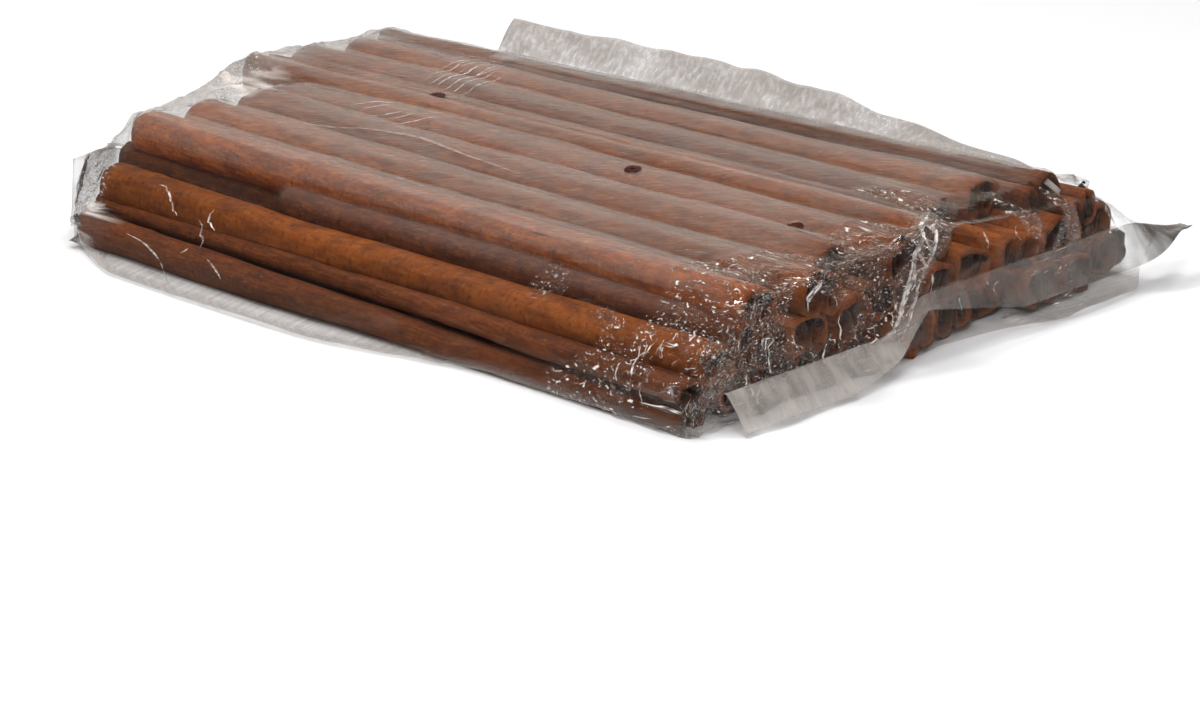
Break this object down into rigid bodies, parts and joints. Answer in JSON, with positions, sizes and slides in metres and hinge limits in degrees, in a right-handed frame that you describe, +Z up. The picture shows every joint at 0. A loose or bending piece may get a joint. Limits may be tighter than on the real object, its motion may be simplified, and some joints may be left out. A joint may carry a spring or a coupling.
{
  "type": "pack of cinnamon sticks",
  "caption": "Flat heap of long rolled cinnamon bark sticks, laid side by side in a clear sealed film bag with loose film past both ends and along the back.",
  "frame": {"origin": "on the floor under the middle of the pack, on its flat underside", "axes": "+X along the sticks towards the near end, +Y towards the back of the pack, +Z up"},
  "size_m": [0.3302, 0.2243, 0.0501],
  "materials": {
    "cinnamon_bark": "dry rolled bark, matt, orange-brown with darker blotches",
    "clear_film": "thin clear film, glossy, crinkled"
  },
  "bodies": {
    "root": {"stick_bundle": "cinnamon_bark", "far_end_film": "clear_film", "near_end_film": "clear_film", "back_film_crest": "clear_film"}
  },
  "joints": []
}
